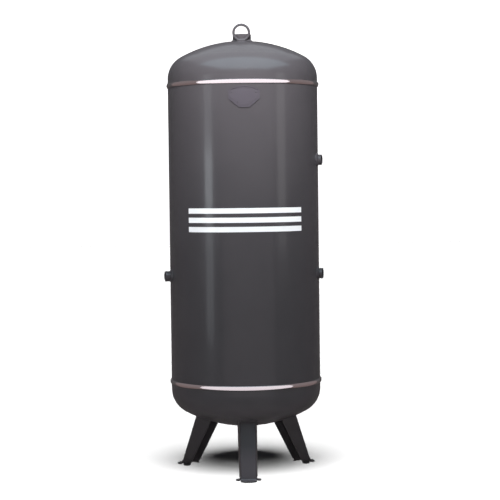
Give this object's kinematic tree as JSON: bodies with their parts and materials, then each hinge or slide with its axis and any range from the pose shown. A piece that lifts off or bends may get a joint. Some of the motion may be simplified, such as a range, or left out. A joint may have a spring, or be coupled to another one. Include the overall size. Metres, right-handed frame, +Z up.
{
  "type": "vertical air receiver tank",
  "caption": "Vertical welded steel compressed-air tank on pressed legs, with domed ends, bright trim bands, threaded sockets, a lifting ring and a drain valve.",
  "frame": {"origin": "on the floor at the tank's axis, the centre of the feet's bolt circle", "axes": "+Z up along the tank's axis; -Y to the front, where the name plate and one leg are; +X to the right, where the two stacked sockets are"},
  "size_m": [0.5322, 0.5238, 1.4935],
  "materials": {
    "tank_coat": "semi-gloss anthracite powder coat",
    "trim_chrome": "bright polished",
    "stripe_film": "white vinyl film",
    "valve_brass": "cast and turned",
    "valve_plastic": "white PTFE",
    "ball_chrome": "hard chromed ball",
    "stem_steel": "turned steel",
    "handle_paint": "red enamel"
  },
  "bodies": {
    "tank": {"shell": "tank_coat", "top_head": "tank_coat", "bottom_head": "tank_coat", "upper_girth_weld": "tank_coat", "lower_girth_weld": "tank_coat", "shell_seam_weld": "tank_coat", "top_socket": "tank_coat", "top_socket_weld": "tank_coat", "lifting_ring": "tank_coat", "lifting_ring_weld": "tank_coat", "left_socket": "tank_coat", "left_socket_weld": "tank_coat", "right_lower_socket": "tank_coat", "right_lower_socket_weld": "tank_coat", "right_upper_socket": "tank_coat", "right_upper_socket_weld": "tank_coat", "drain_socket": "tank_coat", "drain_socket_weld": "tank_coat", "front_leg": "tank_coat", "right_leg": "tank_coat", "left_leg": "tank_coat", "front_leg_weld": "tank_coat", "right_leg_weld": "tank_coat", "left_leg_weld": "tank_coat", "nameplate_bracket": "tank_coat", "nameplate": "tank_coat", "nameplate_rivets": "tank_coat", "upper_trim_band": "trim_chrome", "lower_trim_band": "trim_chrome", "upper_trim_joiner": "trim_chrome", "lower_trim_joiner": "trim_chrome", "front_stripes": "stripe_film", "valve_body": "valve_brass", "valve_end_cap": "valve_brass", "valve_gland_nut": "valve_brass", "valve_seats": "valve_plastic", "valve_packing": "valve_plastic"},
    "valve_lever": {"valve_ball": "ball_chrome", "valve_stem": "stem_steel", "valve_handle": "handle_paint", "valve_handle_nut": "stem_steel"}
  },
  "joints": [
    {"name": "drain_valve_turn", "type": "hinge", "parent": "tank", "child": "valve_lever", "pos_m": [0, 0, 0.109], "axis": [0, 1, 0], "range_deg": [0, 90]}
  ]
}
